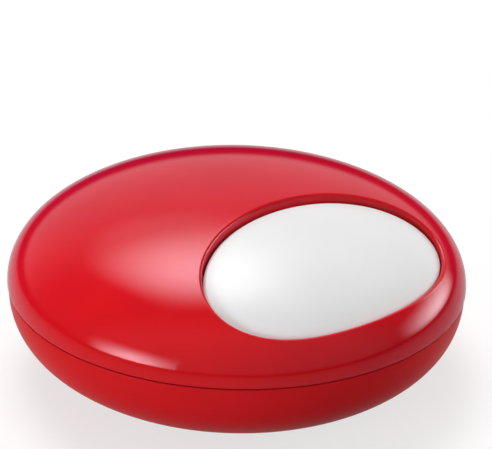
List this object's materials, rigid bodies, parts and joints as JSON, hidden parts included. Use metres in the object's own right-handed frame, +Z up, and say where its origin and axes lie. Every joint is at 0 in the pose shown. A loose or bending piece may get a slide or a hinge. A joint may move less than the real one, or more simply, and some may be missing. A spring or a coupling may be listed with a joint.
{
  "type": "egg slicer",
  "caption": "Round pebble-shaped egg slicer: hinged case with a wire harp in the lid, a slotted cradle in the base and an egg-shaped lift-off cap over the lid's window.",
  "frame": {"origin": "on the floor under the middle of the round case", "axes": "+Z up, -Y towards the front where the window is, hinge at +Y, +X to the right seen from the front"},
  "size_m": [0.136, 0.1358, 0.0576],
  "materials": {
    "red_case": "polished moulding",
    "white_cap": "satin gloss moulding",
    "white_cradle": "fine matte moulding",
    "cast_metal": "satin casting",
    "steel": "bright drawn",
    "foot_rubber": "matte"
  },
  "bodies": {
    "base": {"base_shell": "red_case", "cradle": "white_cradle", "cradle_screws": "steel", "hinge_pin": "steel", "foot_front_left": "foot_rubber", "foot_front_right": "foot_rubber", "foot_rear_left": "foot_rubber", "foot_rear_right": "foot_rubber"},
    "lid": {"lid_shell": "red_case", "harp_frame": "cast_metal", "harp_screws": "steel", "wire_ferrules": "steel", "cutting_wire_01": "steel", "cutting_wire_02": "steel", "cutting_wire_03": "steel", "cutting_wire_04": "steel", "cutting_wire_05": "steel", "cutting_wire_06": "steel", "cutting_wire_07": "steel", "cutting_wire_08": "steel", "cutting_wire_09": "steel", "cutting_wire_10": "steel", "cutting_wire_11": "steel"},
    "cap": {"egg_cap": "white_cap"}
  },
  "joints": [
    {"name": "lid_hinge", "type": "hinge", "parent": "base", "child": "lid", "pos_m": [0, 0.065, 0.02805], "axis": [-1, 0, 0], "range_deg": [0, 95]},
    {"name": "cap_lift", "type": "slide", "parent": "lid", "child": "cap", "axis": [0, 0, 1], "range_m": [0, 0.04]}
  ]
}
